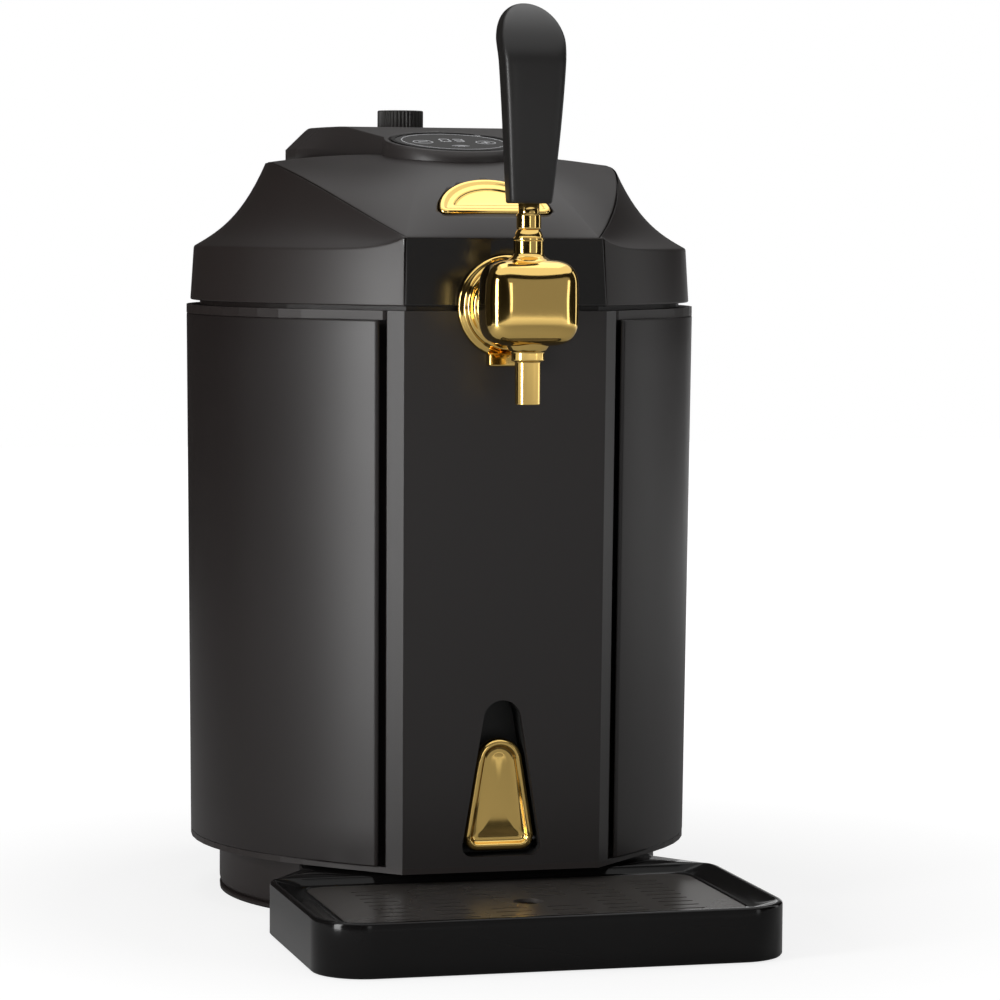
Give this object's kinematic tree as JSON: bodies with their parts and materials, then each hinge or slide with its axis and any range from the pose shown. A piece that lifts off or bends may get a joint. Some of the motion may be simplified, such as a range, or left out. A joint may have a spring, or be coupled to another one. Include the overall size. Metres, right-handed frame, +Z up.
{
  "type": "mini keg beer dispenser",
  "caption": "Cooled drum-shaped dispenser for a small keg, with a domed hinged lid, round display, front tap with upright handle, pull lever and removable drip tray with slotted grille.",
  "frame": {"origin": "middle of the footprint, on the table under the feet", "axes": "+Z up, -Y towards the front with the tap, +X to the right as seen from behind the tap looking at the back; X = 0 is the middle plane through the tap"},
  "size_m": [0.2698, 0.419, 0.465],
  "materials": {
    "shell_plastic": "satin charcoal",
    "panel_plastic": "semi-gloss black-brown",
    "side_metal": "satin charcoal paint",
    "tray_plastic": "glossy black",
    "grille_metal": "glossy dark metallic",
    "gold_chrome": "polished gold colour",
    "handle_plastic": "glossy black",
    "display_gloss": "glossy black",
    "display_glass": "glossy dark glass",
    "inner_plastic": "matt dark grey",
    "liner_plastic": "matt light grey",
    "foam": "matt cream foam",
    "aluminium": "satin",
    "steel": "brushed",
    "ceramic": "matt white",
    "board": "green circuit board",
    "rubber": "matt black"
  },
  "bodies": {
    "housing": {"base_plinth": "shell_plastic", "rubber_feet": "rubber", "body_frame": "shell_plastic", "side_panel_left": "side_metal", "side_panel_right": "side_metal", "front_panel": "panel_plastic", "recess_cup": "inner_plastic", "lever_pin": "steel", "lever_spring": "steel", "keg_chamber": "aluminium", "foam_jacket": "foam", "mouth_deck": "shell_plastic", "head_shell": "shell_plastic", "hinge_bracket": "steel", "hinge_pin": "steel", "tap_flange": "gold_chrome", "tap_shank": "steel", "shank_nut": "steel", "tap_body": "gold_chrome", "tap_spout": "gold_chrome", "lever_collar": "gold_chrome", "tray_catch": "steel", "cold_block": "aluminium", "peltier_module": "ceramic", "heat_sink": "aluminium", "fan_frame": "inner_plastic", "rear_housing": "shell_plastic", "power_board": "board", "power_inlet": "inner_plastic", "housing_screws": "steel"},
    "lid": {"hinge_leaf": "steel", "lid_panel": "shell_plastic", "lid_liner": "liner_plastic", "lid_gasket": "rubber", "console_cover": "shell_plastic", "display_bezel": "display_gloss", "display_glass": "display_glass", "display_board": "board", "regulator_body": "aluminium", "cartridge_sleeve": "steel", "button_cradle": "inner_plastic", "button_spring": "steel", "latch_tongue": "steel"},
    "button": {"latch_button": "gold_chrome"},
    "knob": {"pressure_knob": "shell_plastic"},
    "tap_handle_lever": {"tap_lever": "gold_chrome", "tap_handle": "handle_plastic"},
    "tray_lever": {"pull_lever": "gold_chrome"},
    "tray": {"drip_tray": "tray_plastic"},
    "grille": {"drip_grille": "grille_metal"},
    "impeller": {"fan_impeller": "inner_plastic"}
  },
  "joints": [
    {"name": "lid_hinge", "type": "hinge", "parent": "housing", "child": "lid", "pos_m": [0, 0.1469, 0.376], "axis": [-1, 0, 0], "range_deg": [0, 95], "deforming": ["latch_tongue"]},
    {"name": "button_press", "type": "slide", "parent": "lid", "child": "button", "axis": [0, 0.5736, -0.8192], "range_m": [0, 0.0025], "stiffness_N_per_m": 500, "springref_m": -0.002, "deforming": ["button_spring"]},
    {"name": "tap_tilt", "type": "hinge", "parent": "housing", "child": "tap_handle_lever", "pos_m": [0, -0.1375, 0.3498], "axis": [1, 0, 0], "range_deg": [0, 28]},
    {"name": "pressure_turn", "type": "hinge", "parent": "lid", "child": "knob", "pos_m": [0, 0.1359, 0.409], "axis": [0, 0, 1], "range_deg": [0, 270]},
    {"name": "lever_pull", "type": "hinge", "parent": "housing", "child": "tray_lever", "pos_m": [0, -0.0806, 0.0443], "axis": [1, 0, 0], "range_deg": [0, 18], "stiffness_Nm_per_rad": 0.4, "springref_deg": -8.59, "deforming": ["lever_spring"]},
    {"name": "tray_slide", "type": "slide", "parent": "housing", "child": "tray", "axis": [0, -1, 0], "range_m": [0, 0.13]},
    {"name": "grille_tilt", "type": "hinge", "parent": "tray", "child": "grille", "pos_m": [0, -0.0832, 0.0234], "axis": [-1, 0, 0], "range_deg": [0, 25]},
    {"name": "fan_spin", "type": "hinge", "parent": "housing", "child": "impeller", "pos_m": [0, 0.1899, 0.175], "axis": [0, 1, 0], "continuous": true}
  ]
}
